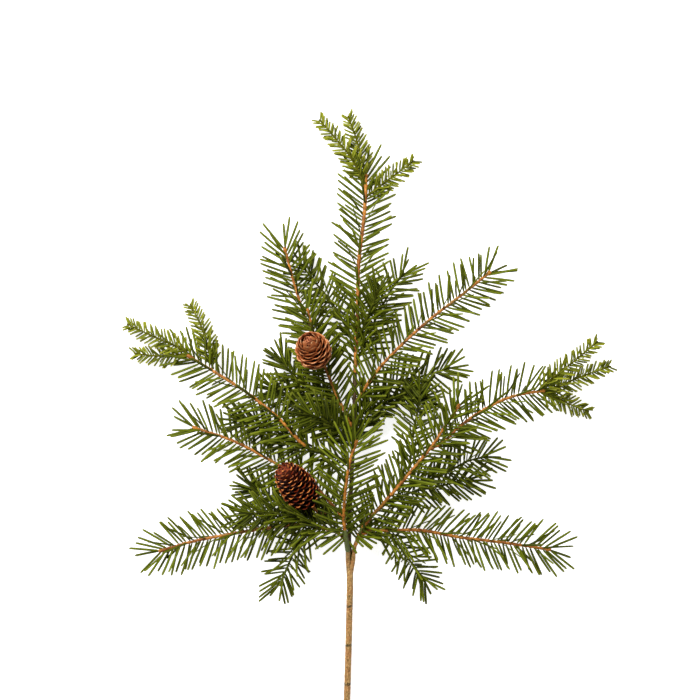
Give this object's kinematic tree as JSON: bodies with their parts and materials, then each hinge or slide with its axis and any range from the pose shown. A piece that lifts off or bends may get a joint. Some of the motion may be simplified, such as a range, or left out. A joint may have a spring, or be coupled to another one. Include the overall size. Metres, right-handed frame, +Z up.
{
  "type": "douglas fir branch with cones",
  "caption": "Cut conifer branch lying flat: a forked woody stem with flat sprays of green needles, pale fresh shoots at the tips and scaly cones on short stalks.",
  "frame": {"origin": "on the floor that the branch lies on, under the middle of its outline", "axes": "+X to the right of the branch, +Y from the cut end of the stem towards the leading tip, +Z up from the floor"},
  "size_m": [0.3966, 0.5233, 0.0709],
  "materials": {
    "stem_bark": "matt, smooth tan bark with dark seams and specks",
    "green_needles": "satin, leaf green with a lighter rib",
    "fresh_needles": "satin, fresh yellow green",
    "twig_bark": "satin, orange brown young bark",
    "pale_cone": "matt, dry light brown scales with pale edges",
    "dark_cone": "glossy, deep red brown scales with orange edges"
  },
  "bodies": {
    "root": {"cone_bearing_spray": "green_needles", "cone_lower": "dark_cone", "cone_upper": "pale_cone", "fresh_left_middle": "fresh_needles", "fresh_left_raised": "fresh_needles", "fresh_left_upper": "fresh_needles", "fresh_right_lower": "fresh_needles", "fresh_right_middle": "fresh_needles", "fresh_right_upper": "fresh_needles", "fresh_top_left": "fresh_needles", "fresh_top_middle": "fresh_needles", "fresh_top_right": "fresh_needles", "front_spray": "green_needles", "leader_spray": "green_needles", "left_back_spray": "green_needles", "left_front_spray": "green_needles", "left_inner_spray": "green_needles", "left_low_spray": "green_needles", "left_lower_side_spray": "green_needles", "left_lower_spray": "green_needles", "left_middle_spray": "green_needles", "left_raised_spray": "green_needles", "left_upper_side_spray": "green_needles", "left_upper_spray": "green_needles", "main_stem": "stem_bark", "right_branch_spray": "green_needles", "right_inner_lower_spray": "green_needles", "right_inner_spray": "green_needles", "right_lower_side_spray": "green_needles", "right_lower_spray": "green_needles", "right_middle_lower_spray": "green_needles", "right_middle_spray": "green_needles", "right_outer_spray": "green_needles", "right_upper_spray": "green_needles", "right_upright_spray": "green_needles", "upper_left_inner_spray": "green_needles", "upper_left_spray": "green_needles", "upper_right_raised_spray": "green_needles", "upper_right_spray": "green_needles"}
  },
  "joints": []
}
